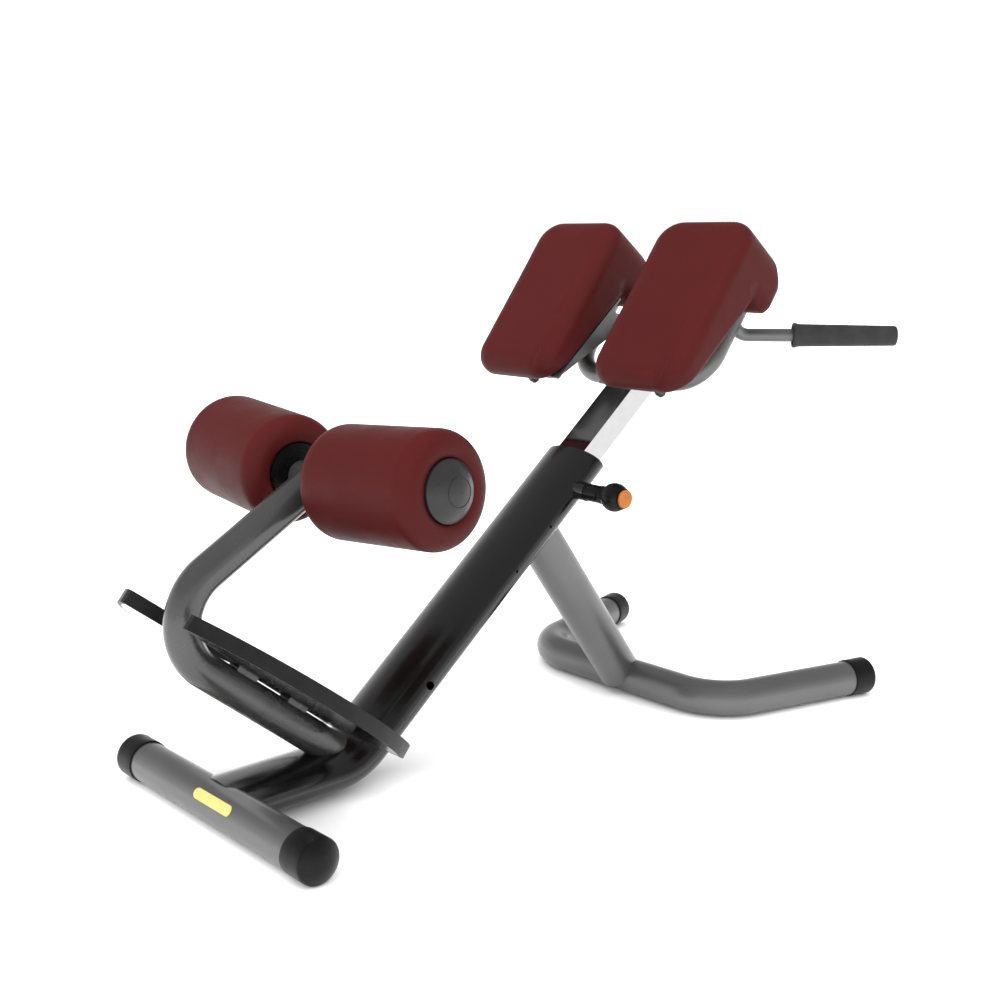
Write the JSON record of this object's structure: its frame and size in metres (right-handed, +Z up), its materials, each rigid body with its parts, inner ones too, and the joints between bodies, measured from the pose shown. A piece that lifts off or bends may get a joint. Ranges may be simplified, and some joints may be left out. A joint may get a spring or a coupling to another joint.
{
  "type": "roman chair",
  "caption": "Roman chair for back extensions: a sloping beam on floor tubes, a post with thigh pads and handles that slides out on a pop pin, ankle rollers and a foot plate.",
  "frame": {"origin": "middle of the footprint, on the floor", "axes": "+X from the foot end towards the thigh pads and handles, +Y to the left of a user facing the pads, +Z up"},
  "size_m": [1.2342, 0.6778, 0.8265],
  "materials": {
    "grey_paint": "semi-gloss grey metallic powder coat",
    "black_paint": "gloss black powder coat",
    "dark_grey_paint": "gloss dark grey powder coat",
    "black_rubber": "matt moulded rubber",
    "grip_rubber": "matt dark grey rubber",
    "bright_steel": "zinc plated",
    "brushed_plate": "bare brushed sheet steel",
    "chrome": "polished chrome plate",
    "black_plastic": "satin moulded plastic",
    "orange_plastic": "glossy orange",
    "badge_plastic": "glossy pale yellow, blank",
    "plywood": "bare plywood",
    "red_vinyl": "dark red vinyl cover over foam",
    "roller_vinyl": "dark red vinyl cover over foam"
  },
  "bodies": {
    "frame": {"front_crossbar": "grey_paint", "front_cap_right": "black_rubber", "front_cap_left": "black_rubber", "rear_foot": "grey_paint", "rear_cap_right": "black_rubber", "rear_cap_left": "black_rubber", "main_beam": "black_paint", "rear_leg": "grey_paint", "roller_arm": "dark_grey_paint", "roller_axle_right": "bright_steel", "roller_axle_left": "bright_steel", "axle_sleeve": "dark_grey_paint", "axle_nuts": "bright_steel", "foot_tread": "black_rubber", "foot_plate": "brushed_plate", "plate_spacers": "dark_grey_paint", "plate_screws": "bright_steel", "guide_bushing": "black_plastic", "pin_boss": "black_paint", "pin_housing": "black_plastic", "blank_badge": "badge_plastic"},
    "post": {"support_post": "chrome", "post_slider": "black_plastic", "post_top_plug": "black_plastic", "upper_bridge": "grey_paint", "pad_bolts": "bright_steel", "pad_washers": "bright_steel", "pad_bolt_sleeves": "bright_steel", "pad_tee_nuts": "bright_steel", "pad_board_right": "plywood", "pad_board_left": "plywood", "thigh_pad_right": "red_vinyl", "thigh_pad_left": "red_vinyl", "pad_plate_right": "grey_paint", "pad_plate_left": "grey_paint", "pad_bracket_right": "grey_paint", "pad_bracket_left": "grey_paint", "pad_gusset_right": "grey_paint", "pad_gusset_left": "grey_paint", "yoke_right": "grey_paint", "yoke_left": "grey_paint", "handle_right": "grey_paint", "handle_left": "grey_paint", "grip_right": "grip_rubber", "grip_left": "grip_rubber"},
    "pin": {"plunger_pin": "bright_steel", "pull_knob": "black_plastic", "knob_disc": "orange_plastic"},
    "roller_right": {"roller_foam_right": "roller_vinyl", "roller_core_right": "black_plastic", "roller_inner_hub_right": "black_plastic", "roller_end_cap_right": "black_plastic"},
    "roller_left": {"roller_foam_left": "roller_vinyl", "roller_core_left": "black_plastic", "roller_inner_hub_left": "black_plastic", "roller_end_cap_left": "black_plastic"}
  },
  "joints": [
    {"name": "post_slide", "type": "slide", "parent": "frame", "child": "post", "axis": [0.7731, 0, 0.6343], "range_m": [0, 0.175]},
    {"name": "pin_pull", "type": "slide", "parent": "frame", "child": "pin", "axis": [0, -1, 0], "range_m": [0, 0.012], "stiffness_N_per_m": 800, "springref_m": -0.008},
    {"name": "roller_right_spin", "type": "hinge", "parent": "frame", "child": "roller_right", "pos_m": [-0.357, 0, 0.4639], "axis": [0.0767, -0.995, 0.0636], "continuous": true},
    {"name": "roller_left_spin", "type": "hinge", "parent": "frame", "child": "roller_left", "pos_m": [-0.357, 0, 0.4639], "axis": [0.0767, 0.995, 0.0636], "continuous": true}
  ]
}
